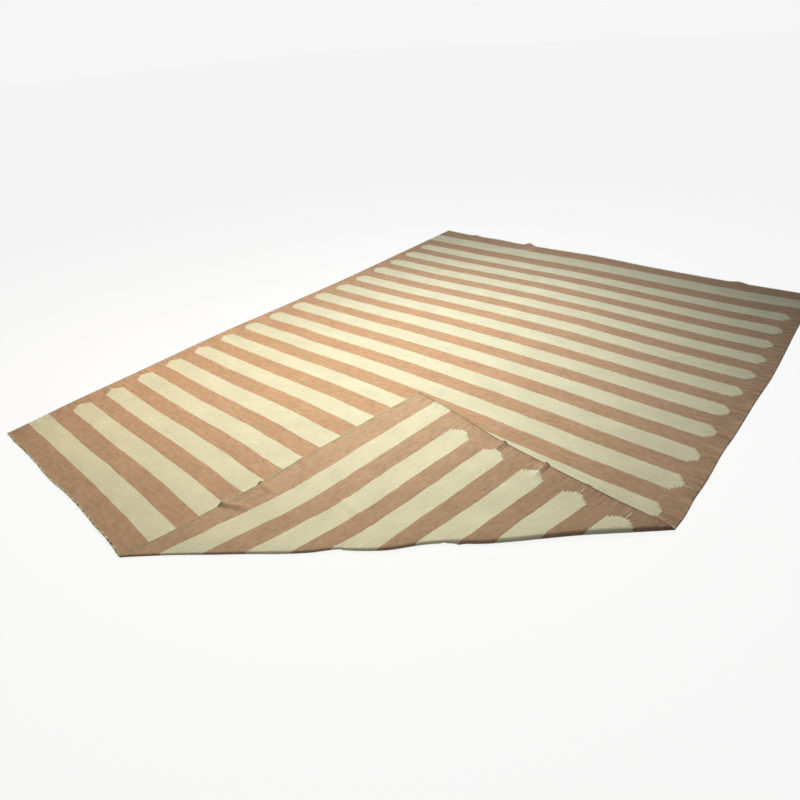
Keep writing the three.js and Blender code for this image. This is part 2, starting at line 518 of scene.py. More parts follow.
def face_out(along, past, thickness):
    """The direction that the cloth's upper face looks in."""
    step = 0.0005
    lengthwise = lay(along + step, past, thickness) - lay(along - step, past, thickness)
    crosswise = lay(along, past + step, thickness) - lay(along, past - step, thickness)
    normal = np.cross(crosswise, lengthwise)
    return normal / np.linalg.norm(normal, axis=-1, keepdims=True)


EDGE_SAMPLES = 3000


def edge(rows, key, value, backwards=False):
    """Closely spaced plan places along one edge of the outline."""
    first, last = (-1, 0) if backwards else (0, -1)
    place = np.linspace(rows[key][first], rows[key][last], EDGE_SAMPLES)
    other = smooth(rows, key, value, place)
    return np.stack([place, other] if key == "x" else [other, place], axis=-1)


def outline():
    """The two ways along the outline from the far left corner to the tip of the turned corner."""
    left_way = [edge(LEFT_SELVEDGE, "y", "x", backwards=True), edge(NEAR_END, "x", "y")]
    right_way = [edge(FAR_END, "x", "y"), edge(RIGHT_SELVEDGE, "y", "x", backwards=True)]
    return np.concatenate(left_way), np.concatenate(right_way)


# Rows of the cloth's mesh: their spacing in the flat cloth and in the turned corner, and their number
# on each side of the fold line, first on the round part of the roll and then beside it
FLAT_STEP = 0.036
CORNER_STEP = 0.008
ROUND_ROWS = 12
BESIDE_ROWS = 8

# Where the round part ends, of the roll's rows counted from 0 at the fold line to 1 beside it
ROUND_SHARE = 0.5
ROUND_SHARES = np.linspace(0, ROUND_SHARE, ROUND_ROWS + 1)
ROLL_SHARES = np.concatenate([ROUND_SHARES, np.linspace(ROUND_SHARE, 1, BESIDE_ROWS + 1)[1:]])

# Points in each row inside the rims, the share of a short row that a rim may take, and the rounds in
# which a row's crossing with the outline is found
COLUMNS = 150
RIM_MOST = 0.25
MEET_ROUNDS = 12

# The edge of the cloth: half of its thickness at each distance in from the outline
RIM = table("inward half", [(0.0, 0.0006), (0.0015, 0.0021), (0.0035, 0.0026), (0.007, 0.0020)])


def corner_level(rows, row):
    """Distance past the fold line of a corner, the first or last place in the table of an end."""
    return from_fold(np.array([rows["x"][row], rows["y"][row]]))[1]


def levels():
    """Distances past the fold line of every row, as functions of the place along it."""
    tip = corner_level(NEAR_END, -1)
    corners = [corner_level(FAR_END, 0), corner_level(FAR_END, -1), corner_level(NEAR_END, 0)]
    marks = sorted([*corners, -FOLD_ZONE])
    flat = np.concatenate([even(low, high, FLAT_STEP) for low, high in zip(marks, marks[1:])])
    shares = np.concatenate([-ROLL_SHARES[:0:-1], ROLL_SHARES])
    corner = even(FOLD_ZONE, tip, CORNER_STEP)[1:]
    flat_rows = [lambda along, past=past: np.full_like(along, past) for past in flat]
    roll_rows = [lambda along, share=share: roll_level(along, share) for share in shares]
    corner_rows = [lambda along, past=past: np.full_like(along, past) for past in [*corner, tip]]
    return flat_rows + roll_rows + corner_rows


def even(low, high, spacing):
    """Even steps from one value up to, and without, another."""
    return np.linspace(low, high, int(np.ceil((high - low) / spacing)) + 1)[:-1]


def roll_level(along, share):
    """Distance past the fold line of a row in the roll, half of the rows being on its round part."""
    reach, radius, quarter, stretch = roll_at(along)
    rounded = quarter / stretch
    part = abs(share) / ROUND_SHARE
    past = rounded * part if part <= 1 else rounded + (FOLD_ZONE - rounded) * (part - 1)
    return np.sign(share) * past


def meet(way, level):
    """Place along the fold line where a way along the outline crosses a row."""
    along, past = from_fold(way)
    place = np.array([0.0])
    for _ in range(MEET_ROUNDS):
        place = np.interp(level(place), past, along)
    return place[0]


def cloth_grid():
    """Every point of the cloth's mesh: distances along and past the fold line, and in from the edge."""
    left_way, right_way = outline()
    inward = RIM["inward"]
    rows = []
    for level in levels():
        start, end = meet(left_way, level), meet(right_way, level)
        rim = np.minimum(inward, (end - start) * inward / inward[-1] * RIM_MOST)
        middle = np.linspace(start + rim[-1], end - rim[-1], COLUMNS)
        along = np.concatenate([start + rim[:-1], middle, end - rim[-2::-1]])
        near_edge = np.minimum(along - start, end - along)
        rows.append((along, level(along), near_edge))
    return [np.array(part) for part in zip(*rows)]


def shares_of(knots, place):
    """How much each knot has to say at every place, as a smooth curve through 1 there and 0 elsewhere."""
    units = np.eye(len(knots))
    return np.stack([smooth({"at": knots, "to": unit}, "at", "to", place) for unit in units], axis=-1)


def drift(plan):
    """How far the woven passes stand off their places on the loom."""
    across = shares_of(DRIFT_ACROSS, plan[..., 0])
    up = shares_of(DRIFT_UP, plan[..., 1])
    return np.einsum("...i,ij,...j->...", up, DRIFT, across)


def thread_places(plan, width):
    """Where each point was on the loom: metres from the left selvedge, and along the warp."""
    left = smooth(LEFT_SELVEDGE, "y", "x", plan[..., 1])
    right = smooth(RIGHT_SELVEDGE, "y", "x", plan[..., 1])
    across = (plan[..., 0] - left) / (right - left) * width
    along, past = from_fold(plan)
    shown = np.clip(along / SLIP_START, 0, 1) * np.clip((SLIP_END - along) / SLIP_FADE, 0, 1)
    slip = ROLL_SLIP * np.maximum(0, 1 - np.abs(past) / SLIP_RUN) ** 2 * shown
    return np.stack([across, plan[..., 1] - DRIFT_START - drift(plan) + slip], axis=-1)


def pattern_places(thread, width, length):
    """The same points in an even pattern: shares of the width with even tips, and of the even bars."""
    across, up = thread[..., 0], thread[..., 1]
    edges = np.stack([BARS["start"], BARS["end"]], axis=-1).ravel()
    edge_phases = np.arange(1, 2 * BAR_COUNT + 1) / 2
    phase = np.interp(up, [0, *edges, length], [0, *edge_phases, LAST_PHASE])
    middles = (BARS["start"] + BARS["end"]) / 2
    left = np.interp(up, middles, BARS["left"])
    right = np.interp(up, middles, BARS["right"])
    share = (across - left) / (width - left - right)
    inside = TIP_LEFT + share * (width - TIP_LEFT - TIP_RIGHT)
    before = across / left * TIP_LEFT
    after = width - (width - across) / right * TIP_RIGHT
    even_across = np.where(across < left, before, np.where(across > width - right, after, inside))
    return np.stack([even_across / width, phase / LAST_PHASE], axis=-1)


def new_object(name, points, faces):
    """A mesh object from points and faces, added to the scene."""
    mesh = bpy.data.meshes.new(name)
    mesh.from_pydata(points, [], faces)
    piece = bpy.data.objects.new(name, mesh)
    bpy.context.scene.collection.objects.link(piece)
    return piece


def sheet_faces(row_count, column_count):
    """Faces of a closed sheet: its upper side, its under side, and the rims that join them."""
    index = np.arange(row_count * column_count).reshape(row_count, column_count)
    around = [index[:-1, :-1], index[:-1, 1:], index[1:, 1:], index[1:, :-1]]
    quads = np.stack(around, axis=-1).reshape(-1, 4)
    rims = []
    for way in (index[:, 0], index[:, -1]):
        below = way + index.size
        rims.append(np.stack([way[:-1], way[1:], below[1:], below[:-1]], axis=-1))
    return np.concatenate([quads[:, ::-1], quads + index.size, rims[0][:, ::-1], rims[1]])


def add_maps(mesh, plan, sizes):
    """Loom places and pattern places as UV maps, and the underside and the way to the ends as attributes."""
    thread = thread_places(plan, sizes.width)
    pattern = pattern_places(thread, sizes.width, sizes.length)
    corner_points = np.zeros(len(mesh.loops), dtype=int)
    mesh.loops.foreach_get("vertex_index", corner_points)
    for name, places in (("thread", thread), ("pattern", pattern)):
        both = np.tile(places.reshape(-1, 2), (2, 1))
        mesh.uv_layers.new(name=name).data.foreach_set("uv", both[corner_points].ravel())
    x, y = plan[..., 0].ravel(), plan[..., 1].ravel()
    from_end = np.minimum(y - smooth(NEAR_END, "x", "y", x), smooth(FAR_END, "x", "y", x) - y)
    reverse = np.repeat([0.0, 1.0], len(x))
    for name, values in (("reverse", reverse), ("from_end", np.tile(from_end, 2))):
        mesh.attributes.new(name, "FLOAT", "POINT").data.foreach_set("value", values)


def weave_cloth(sizes):
    """The whole cloth as one closed sheet, with its maps, centred on the box of the solid."""
    along, past, inward = cloth_grid()
    middle = lay(along, past, sizes.thickness)
    normal = face_out(along, past, sizes.thickness)
    half = np.interp(inward, RIM["inward"], RIM["half"])[..., None]
    sides = np.stack([middle + normal * half, middle - normal * half])
    sides[..., 2] = np.maximum(sides[..., 2], 0)
    low, high = np.array(cad_box)
    corners = sides.reshape(-1, 3)
    shift = (low + high) / 2 - (corners.min(axis=0) + corners.max(axis=0)) / 2
    sides[..., :2] += shift[:2]
    points = sides.reshape(-1, 3)

    cloth = new_object("cloth", points.tolist(), sheet_faces(*along.shape).tolist())
    add_maps(cloth.data, to_plan(along, past), sizes)
    close_up(cloth)
    cloth["shift"] = shift[:2].tolist()
    return cloth


# Points nearer to each other than this are one point
MERGE_DISTANCE = 1e-6


def close_up(piece):
    """Merge points that fall together, close open ends, point the faces outwards and shade them smooth."""
    work = bmesh.new()
    work.from_mesh(piece.data)
    bmesh.ops.remove_doubles(work, verts=work.verts, dist=MERGE_DISTANCE)
    bmesh.ops.holes_fill(work, edges=work.edges, sides=PLY_SIDES)
    bmesh.ops.recalc_face_normals(work, faces=work.faces)
    work.to_mesh(piece.data)
    work.free()
    piece.data.shade_smooth()


# The ends: each has a line of two-ply twining along the last weft, and cut warp ends that stand out
ENDS = {"near": (NEAR_END, -1), "far": (FAR_END, 1)}

# The twining: faces round a ply and steps in a turn of it, spacing of its path and how far it stops from
# the corners; and, in ply radii, how high it lies, how far in from the edge, and how far apart the plies
PLY_SIDES = 6
PLY_STEPS = 8
PATH_STEP = 0.003
CORNER_MARGIN = 0.004
TWINE_HEIGHT = 2.1
TWINE_INSET = 1.5
PLY_APART = 1.05

# The cut warps: how many at each end, the seed of their draws, their sides, lengths and radius, how far
# they stop from the corners, and how far they lean along the end and up, as shares of their length
TUFTS = 110
TUFT_SEED = 7
TUFT_SIDES = 4
TUFT_LENGTHS = (0.003, 0.009)
TUFT_RADIUS = 0.0006
TUFT_MARGIN = 0.01
TUFT_LEAN = (-0.6, 0.6)
TUFT_LIFT = (-0.2, 0.4)


def end_place(end, x, beyond, sizes):
    """Where a point lies that is a little beyond the end of the cloth, at a place across it."""
    rows, outward = ENDS[end]
    plan = np.stack([x, smooth(rows, "x", "y", x) + outward * beyond], axis=-1)
    place = lay(*from_fold(plan), sizes.thickness)
    place[..., 2] = np.maximum(place[..., 2], TWINE_HEIGHT * sizes.ply)
    return place


def end_path(end, shift, sizes):
    """A curve along one end of the cloth, over the fold where the end is folded, and its length."""
    rows = ENDS[end][0]["x"]
    first, last = rows[0] + CORNER_MARGIN, rows[-1] - CORNER_MARGIN
    x = np.linspace(first, last, int((last - first) / PATH_STEP))
    places = end_place(end, x, -TWINE_INSET * sizes.ply, sizes) + np.array([shift[0], shift[1], 0])
    curve = bpy.data.curves.new(end + "_path", "CURVE")
    curve.dimensions = "3D"
    spline = curve.splines.new("POLY")
    spline.points.add(len(places) - 1)
    spline.points.foreach_set("co", np.insert(places, 3, 1, axis=1).ravel())
    path = bpy.data.objects.new(end + "_path", curve)
    bpy.context.scene.collection.objects.link(path)
    return path, np.linalg.norm(np.diff(places, axis=0), axis=-1).sum()


def twine(name, side, path, length, sizes):
    """One ply of the twining: a turn of yarn, repeated, and laid along the end."""
    bpy.ops.object.select_all(action="DESELECT")
    bpy.ops.mesh.primitive_circle_add(
        vertices=PLY_SIDES,
        radius=sizes.ply,
        location=(0, side * sizes.ply * PLY_APART, 0),
        rotation=(0, pi / 2, 0),
    )
    ply = bpy.context.object
    ply.name = name
    bpy.ops.object.transform_apply(location=True, rotation=True, scale=True)
    turns = round(length / sizes.twist)
    turn = ply.modifiers.new("turn", "SCREW")
    turn.axis = "X"
    turn.screw_offset = length / turns
    turn.steps = PLY_STEPS
    turn.render_steps = PLY_STEPS
    repeat = ply.modifiers.new("repeat", "ARRAY")
    repeat.count = turns
    repeat.use_relative_offset = False
    repeat.use_constant_offset = True
    repeat.constant_offset_displace = (length / turns, 0, 0)
    along = ply.modifiers.new("along", "CURVE")
    along.object = path
    for modifier in ("turn", "repeat", "along"):
        bpy.ops.object.modifier_apply(modifier=modifier)
    close_up(ply)
    return ply


def cut_warps(end, shift, sizes, draw):
    """Cut ends of the warp that stand out past the twining, each a thin tapered strand."""
    rows = ENDS[end][0]["x"]
    x = np.sort(draw.uniform(rows[0] + TUFT_MARGIN, rows[-1] - TUFT_MARGIN, TUFTS))
    long = draw.uniform(*TUFT_LENGTHS, TUFTS)
    root = end_place(end, x, sizes.ply, sizes)
    tip = end_place(end, x + draw.uniform(*TUFT_LEAN, TUFTS) * long, 2 * sizes.ply + long, sizes)
    tip[:, 2] = np.maximum(tip[:, 2] + draw.uniform(*TUFT_LIFT, TUFTS) * long, 2 * TUFT_RADIUS)
    bpy.ops.object.select_all(action="DESELECT")
    for index in range(TUFTS):
        line = Vector(tip[index] - root[index])
        bpy.ops.mesh.primitive_cone_add(
            vertices=TUFT_SIDES,
            radius1=TUFT_RADIUS,
            radius2=TUFT_RADIUS / 2,
            depth=line.length,
            location=Vector((root[index] + tip[index]) / 2) + Vector((shift[0], shift[1], 0)),
            rotation=line.to_track_quat("Z", "Y").to_euler(),
        )
        if index == 0:
            tufts = bpy.context.object
            tufts.name = end + "_cut_warps"
            bpy.ops.object.transform_apply(location=True, rotation=True, scale=True)
            bpy.ops.object.mode_set(mode="EDIT")
    bpy.ops.object.mode_set(mode="OBJECT")
    tufts.data.shade_smooth()
    return tufts


class Value:
    """A number that changes over a surface, so that a material's maths reads as Python."""

    def __init__(self, paint, socket):
        self.paint = paint
        self.socket = socket

    def output(self, name):
        """Another output of the same node, by its name or its number."""
        return Value(self.paint, self.socket.node.outputs[name])

    def math(self, operation, *values):
        """The result of one Math node."""
        return self.paint.node("ShaderNodeMath", {"operation": operation}, dict(enumerate(values)))

    def __add__(self, other):
        return self.math("ADD", self, other)

    def __sub__(self, other):
        return self.math("SUBTRACT", self, other)

    def __rsub__(self, other):
        return self.math("SUBTRACT", other, self)

    def __mul__(self, other):
        return self.math("MULTIPLY", self, other)

    def __truediv__(self, other):
        return self.math("DIVIDE", self, other)

    def __gt__(self, other):
        return self.math("GREATER_THAN", self, other)

    def __lt__(self, other):
        return self.math("LESS_THAN", self, other)

    def __abs__(self):
        return self.math("ABSOLUTE", self)

    __radd__ = __add__
    __rmul__ = __mul__

    def at_least(self, other):
        return self.math("MAXIMUM", self, other)

    def at_most(self, other):
        return self.math("MINIMUM", self, other)

    def part(self):
        """What stands after the decimal point."""
        return self.math("FRACT", self)

    def up(self):
        """The next whole number."""
        return self.math("CEIL", self)

    def wave(self):
        """A sine of the number, which counts whole waves."""
        return self.math("SINE", self * (2 * pi))

    def ramp(self, start, rise, most=1):
        """Nothing up to a start, and from there a straight rise to the most."""
        return ((self - start) * rise).at_least(0).at_most(most)


# Sockets of the Mix node where it mixes colours, which share their names with its other sockets
MIX_FACTOR = 0
MIX_COLOURS = (6, 7)
MIXED_COLOUR = 2

# The weak shine of dry yarn
SPECULAR = 0.25


class Paint:
    """A material under construction."""

    def __init__(self, name, roughness):
        self.material = bpy.data.materials.new(name)
        self.material.use_nodes = True
        self.tree = self.material.node_tree
        self.shader = self.tree.nodes["Principled BSDF"]
        self.shader.inputs["Roughness"].default_value = roughness
        self.shader.inputs["Specular IOR Level"].default_value = SPECULAR

    def node(self, kind, settings, inputs):
        """Any node: its settings, then the values or links of its sockets."""
        made = self.tree.nodes.new(kind)
        for name, value in settings.items():
            setattr(made, name, value)
        for name, value in inputs.items():
            if isinstance(value, Value):
                self.tree.links.new(value.socket, made.inputs[name])
            else:
                made.inputs[name].default_value = value
        return Value(self, made.outputs[0])

    def split(self, place):
        """The first two numbers of a place."""
        x = self.node("ShaderNodeSeparateXYZ", {}, {"Vector": place})
        return x, x.output("Y")

    def map_places(self, name):
        """Places in one of the piece's own UV maps."""
        return self.split(self.node("ShaderNodeUVMap", {"uv_map": name}, {}))

    def object_places(self):
        """Places in the piece's own space, which is the frame."""
        return self.split(self.node("ShaderNodeTexCoord", {}, {}).output("Object"))

    def attribute(self, name):
        """A number that the piece's points carry."""
        return self.node("ShaderNodeAttribute", {"attribute_name": name}, {}).output("Fac")

    def noise(self, x, y, across, along, detail):
        """Soft noise, 0 to 1, with so many grains in a metre across and along."""
        place = self.node("ShaderNodeCombineXYZ", {}, {"X": x * across, "Y": y * along})
        inputs = {"Vector": place, "Scale": 1.0, "Detail": detail, "Roughness": 0.5}
        return self.node("ShaderNodeTexNoise", {"noise_dimensions": "2D"}, inputs)

    def mix(self, factor, first, second, blend="MIX"):
        """One colour laid over another, by a factor."""
        settings = {"data_type": "RGBA", "blend_type": blend}
        inputs = {MIX_FACTOR: factor, MIX_COLOURS[0]: first, MIX_COLOURS[1]: second}
        return self.node("ShaderNodeMix", settings, inputs).output(MIXED_COLOUR)

    def shade(self, colour, amount):
        """A colour made lighter or darker by a number near 1."""
        grey = self.node("ShaderNodeCombineColor", {}, {"Red": amount, "Green": amount, "Blue": amount})
        return self.mix(1.0, colour, grey, "MULTIPLY")

    def link(self, value, socket):
        """Let a value or a colour feed one of the shader's sockets."""
        self.tree.links.new(value.socket, self.shader.inputs[socket])

    def bump(self, height, distance):
        """Relief from a height of 0 to 1."""
        inputs = {"Height": height, "Distance": distance, "Strength": 1.0}
        self.link(self.node("ShaderNodeBump", {}, inputs), "Normal")


def opaque(colour):
    """A colour with its alpha."""
    return (*colour, 1.0)


# The grain of each noise in the materials: grains in a metre across and along, and their detail
GRAINS = {
    "waver": (7, 7, 3.0),
    "ragged": (4, 160, 1.0),
    "shown": (0.7, 4.5, 0.0),
    "dye": (4, 11, 3.0),
    "blush": (14, 20, 3.0),
    "pleats": (5, 38, 2.0),
    "yarn": (500, 1500, 2.0),
    "turns": (55, 55, 2.0),
    "gap_shade": (38, 38, 3.0),
    "fibre": (900, 900, 2.0),
}

# Marks in the yarn, from hatching and weft streaks to mottle and flecks: the grain of each, how strongly
# it shades the tan, and how much less the cream
MARKS = (
    ((100, 40, 2.0), 0.22, 0.14),
    ((28, 44, 3.0), 0.36, 0.24),
    ((12, 62, 2.0), 0.28, 0.18),
    ((6, 8, 4.0), 0.22, 0.0),
    ((420, 600, 1.0), 0.16, 0.0),
)


def cream_mask(paint, x, y, sizes):
    """Where the weft is cream: the bars and their stepped points, the ticks, and the slits beside them."""
    pattern_x, pattern_y = paint.map_places("pattern")
    across = pattern_x * sizes.width
    waver = (paint.noise(x, y, *GRAINS["waver"]) - 0.5) * WAVER
    phase = (pattern_y * LAST_PHASE + waver).at_least(PHASE_MARGIN).at_most(LAST_PHASE - PHASE_MARGIN)
    bar = phase.part()
    band = bar > 0.5
    inner = (phase > FIRST_INNER) * (phase < LAST_INNER)
    off_middle = abs(bar - BAR_MIDDLE) / HALF_BAR
    on_right = across > sizes.width / 2
    past_blunt = off_middle - BLUNT_LEFT - on_right * (BLUNT_RIGHT - BLUNT_LEFT)
    stairs = past_blunt.at_least(0) / STEP_RISE
    notch = (stairs.part() < NOTCH_SHARE) * (stairs > 0) * NOTCH
    step = stairs.up() * (on_right * RIGHT_STRETCH + 1) * sizes.step_run + notch
    inside = (across - TIP_LEFT).at_most(sizes.width - TIP_RIGHT - across)
    ragged = (paint.noise(x, y, *GRAINS["ragged"]) - 0.5) * RAGGED
    bars = band * (1 - inner).at_least(inside + ragged > step)
    beside = (inside < 0) * inner
    shown = paint.noise(x, y, *GRAINS["shown"]).ramp(*TICK_RAMP, TICK_MOST)
    tick = (off_middle < TICK_HALF) * (inside > -sizes.tick) * beside * shown
    slit = (abs(off_middle - SLIT_PLACE) < SLIT_HALF) * beside * (SLIT_MOST - shown)
    return bars, tick, slit


# A pool of painted light on the tan, where the lamps fall strongest: its middle, in the frame, and how far
# from there it reaches
LIGHT_POOL_MIDDLE = (-0.670, -0.240)
LIGHT_POOL_RADIUS = 1.900

# The dye's olive and pink tints: where in the noise each starts to show and how fast it comes in, and
# how far the pink one's noise is moved, so that the two don't fall together
OLIVE_RAMP = (0.44, 2.6)
PINK_RAMP = (0.42, 4.5)
PINK_SHIFT = 0.5

# How much of the other tints shows: the underside's, and how much less of it for each metre to the
# right; the rim's painted shade, in full outside the pool of painted light; and the cream's, as painted
# light, in full at the pool's middle
REVERSE_TINT = 0.80
REVERSE_FALL = 0.45
RIM_SHADE_TINT = 0.85
LIGHT_POOL_TINT = 0.05

# The cloth's last passes, which the greyer weft of the ends colours: their width, how fast the grey
# comes in for each metre, and how much of it shows, with as much again on the underside
END_BAND = 0.013
END_RISE = 120
END_TINT = 0.3

# Painted shade: how much darker the cloth gets towards its far right corner, where less light falls, and
# where that starts
CORNER_SHADE_RISE = 0.110
CORNER_SHADE_START = 0.155

# Pleats drawn in along the selvedges: how fast they fade for each metre inwards, how much stronger they
# are on the right and weaker on the underside, and how much painted shade they lay on the colour, beside
# their relief
PLEAT_FADE = 7
PLEAT_RIGHT = 0.8
PLEAT_REVERSE = 0.5
PLEAT_PAINTED_SHADE = 0.7

# The dark edge of the selvedge, partly a darker thread and partly painted shade of the gap under the
# edge: its width, its shade and how much more on the underside; and the painted shade in the slits
SELVEDGE_WIDTH = 0.006
SELVEDGE_SHADE = 0.25
SELVEDGE_REVERSE = 0.20
SLIT_PAINTED_SHADE = 0.30

# The soft sheen of loose fibres, and the relief of the cloth: shares of the beads, the yarn and the
# pleats in it, and its depth in metres
SHEEN = 0.15
SHEEN_ROUGHNESS = 0.6
BEAD_RELIEF = 0.8
YARN_RELIEF = 0.3
PLEAT_RELIEF = 12
RELIEF = 0.0006


def dyed_and_shaded_ground(paint, x, y, reverse, place, colours):
    """The tan of the ground: unevenly dyed, paler with painted light in the middle, darker with painted
    shade at the rim, grey at the ends.
    """
    # Painted light: a pool that is brightest at its middle, where the lamps fall strongest
    off_x, off_y = ((place[axis] - LIGHT_POOL_MIDDLE[axis]) / LIGHT_POOL_RADIUS for axis in range(2))
    light_pool = (1 - off_x * off_x - off_y * off_y).at_least(0)
    from_end = paint.attribute("from_end")
    tints = (
        (paint.noise(x, y, *GRAINS["dye"]).ramp(*OLIVE_RAMP), colours.olive),
        (paint.noise(x + PINK_SHIFT, y, *GRAINS["blush"]).ramp(*PINK_RAMP), colours.pink),
        (reverse * (REVERSE_TINT - place[0] * REVERSE_FALL), colours.faded),
        # Painted shade at the rim and painted light in the middle, where the lamps' light falls off and
        # falls strongest
        ((1 - light_pool) * RIM_SHADE_TINT, colours.rim_shade),
        (light_pool * LIGHT_POOL_TINT, colours.cream),
        ((END_BAND - from_end).ramp(0, END_RISE, (reverse + 1) * END_TINT), colours.end_grey),
    )
    ground = opaque(colours.tan)
    for share, colour in tints:
        ground = paint.mix(share, ground, opaque(colour))
    return ground


def beads(x, y, sizes):
    """Height of the weft over the ribs of the warp, where every other pass goes over the ribs between."""
    passes = y / (2 * sizes.passing)
    odd = passes.part() > 0.5
    over = abs((x / (2 * sizes.rib) + odd * 0.5 + 0.25).wave())
    return over * abs(passes.wave())


def cotton(sizes, colours):
    """Flat-woven cotton: stepped bars, uneven dye with painted light and shade, and the beads of a ribbed
    weft-faced weave.
    """
    paint = Paint("woven cotton", roughness=0.92)
    paint.shader.inputs["Sheen Weight"].default_value = SHEEN
    paint.shader.inputs["Sheen Roughness"].default_value = SHEEN_ROUGHNESS
    x, y = paint.map_places("thread")
    place = paint.object_places()
    reverse = paint.attribute("reverse")
    bars, tick, slit = cream_mask(paint, x, y, sizes)
    ground = dyed_and_shaded_ground(paint, x, y, reverse, place, colours)
    colour = paint.mix(bars.at_least(tick), ground, opaque(colours.cream))

    inward = x.at_most(sizes.width - x)
    on_right = x > sizes.width / 2
    drawn_in = (1 - inward * PLEAT_FADE).at_least(0) * (on_right * PLEAT_RIGHT + 1)
    pleats = (paint.noise(x, y, *GRAINS["pleats"]) - 0.5) * drawn_in * (1 - reverse * PLEAT_REVERSE)
    marks = [(paint.noise(x, y, *grain) - 0.5) * (on_tan - bars * less) for grain, on_tan, less in MARKS]
    # Painted shade: the pleats lighten and darken the colour as light would on their ridges and hollows; the
    # marks are tone in the yarn
    colour = paint.shade(colour, sum(marks) + pleats * PLEAT_PAINTED_SHADE + 1)

    # Partly painted shade: the dark line along the selvedges is a darker thread and the shade of the gap
    # under the edge; the slits are darkened as painted shade
    selvedge = (inward < SELVEDGE_WIDTH) * (reverse * SELVEDGE_REVERSE + SELVEDGE_SHADE)
    # Painted shade: darker towards the far right corner, and on the underside's tan towards the right
    corner_falloff = (place[0] + place[1]) * CORNER_SHADE_RISE - CORNER_SHADE_START
    corner_shade = corner_falloff.at_least(reverse * (1 - bars) * place[0] * CORNER_SHADE_RISE)
    paint.link(paint.shade(colour, 1 - selvedge - slit * SLIT_PAINTED_SHADE - corner_shade), "Base Color")

    yarn = paint.noise(x, y, *GRAINS["yarn"])
    height = beads(x, y, sizes) * BEAD_RELIEF + yarn * YARN_RELIEF + pleats * PLEAT_RELIEF
    paint.bump(height, RELIEF)
    return paint.material


# The near end lies flat on the floor on this side, and past it climbs the turned corner
CORNER_SIDE = -2.020

# Light yarn: where in the noise it starts to show, how much later on the floor, and how fast it comes in
LIGHT_START = 0.2875
FLOOR_DELAY = 0.15
LIGHT_RISE = 8

# Dark places of painted shade, in the gaps between the turns and under the twining on the floor: where in
# the noise they would start with no share of dark, how fast they come in, and how far their noise is moved
GAP_SHADE_START = 0.88
GAP_SHADE_RISE = 12
GAP_SHADE_SHIFT = 3 / 38

# Shade of the fibres, darkest and how much lighter, and the depth of their relief in metres
FIBRE_SHADE = (0.8, 0.4)
FIBRE_RELIEF = 0.0003


def end_yarn(name, colours, dark_share):
    """Yarn of the twined ends: cream and grey-green by turns, with dark places of painted shade on the
    floor.
    """
    paint = Paint(name, roughness=0.9)
    x, y = paint.object_places()
    on_floor = y < CORNER_SIDE
    turns = paint.noise(x, y, *GRAINS["turns"]) - on_floor * FLOOR_DELAY
    light = turns.ramp(LIGHT_START, LIGHT_RISE)
    colour = paint.mix(light, opaque(colours.end_grey), opaque(colours.end_light))
    # Painted shade: dark yarn mixed in where the twining lies on the floor
    gap_shade = paint.noise(x + GAP_SHADE_SHIFT, y, *GRAINS["gap_shade"])
    dark = gap_shade.ramp(GAP_SHADE_START - dark_share, GAP_SHADE_RISE, on_floor)
    colour = paint.mix(dark, colour, opaque(colours.end_gap_shade))
    fibre = paint.noise(x, y, *GRAINS["fibre"])
    darkest, lighter = FIBRE_SHADE
    paint.link(paint.shade(colour, fibre * lighter + darkest), "Base Color")
    paint.bump(fibre, FIBRE_RELIEF)
    return paint.material


def dress(piece, material):
    """Give a finished piece its material and its body."""
    piece.data.materials.append(material)
    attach(piece, "root")


class DHURRIE_OT_cloth(bpy.types.Operator):
    """Weave the cloth, fold its corner over and give it its cotton"""

    bl_idname = "dhurrie.cloth"
    bl_label = "Weave the cloth"

    def execute(self, context):
        scene = context.scene
        bpy.ops.object.select_all(action="DESELECT")
        cloth = weave_cloth(scene.dhurrie_sizes)
        dress(cloth, cotton(scene.dhurrie_sizes, scene.dhurrie_colours))
        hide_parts(NODE)
        return {"FINISHED"}


class DHURRIE_OT_ends(bpy.types.Operator):
    """Twine the two ends of the cloth and leave the cut warps standing out"""

    bl_idname = "dhurrie.ends"
    bl_label = "Finish the ends"

    def execute(self, context):
        scene = context.scene
        sizes = scene.dhurrie_sizes
        light = end_yarn("light end yarn", scene.dhurrie_colours, dark_share=0.20)
        dark = end_yarn("dark end yarn", scene.dhurrie_colours, dark_share=0.30)
        cloth = bpy.data.objects["cloth"]
        draw = np.random.default_rng(TUFT_SEED)
        pieces = []
        for end in ENDS:
            path, length = end_path(end, cloth["shift"], sizes)
            for name, side, yarn in (("light", 1, light), ("dark", -1, dark)):
                pieces.append(twine(f"{end}_twine_{name}", side, path, length, sizes))
                dress(pieces[-1], yarn)
            bpy.data.objects.remove(path)
            pieces.append(cut_warps(end, cloth["shift"], sizes, draw))
            dress(pieces[-1], light)
        return {"FINISHED"}


# The plan place that the camera and the lamps take for the frame's origin
PLAN_MIDDLE = (1.521, 2.1375, 0.0)

# The eye, in plan places, the way that it looks: down, round from the far end, and tilted; and its lens
EYE = (3.360, -0.559, 1.764)
EYE_DOWN = radians(32.151)
EYE_ROUND = radians(-43.007)
EYE_ROLL = radians(-4.234)
LENS = 27.02
SHIFT = (0.0308, 0.0018)

# The lamps over the rug: plan place with the height, width, power and colour
LAMPS = {
    "warm lamp": ((-0.10, 0.93, 1.80), 0.8, 20, (1.0, 0.84, 0.64)),
    "main lamp": ((1.10, 2.86, 2.32), 0.8, 52, (0.98, 1.0, 1.0)),
    "side lamp": ((1.63, 1.20, 1.95), 0.8, 24, (1.0, 0.98, 0.86)),
}

# Light from the white room, and how much of the floor's own white shows beside its shading
ROOM_LIGHT = 0.02
FLOOR_GLOW = 0.90
FLOOR_SIZE = 80
WHITE = (1, 1, 1, 1)


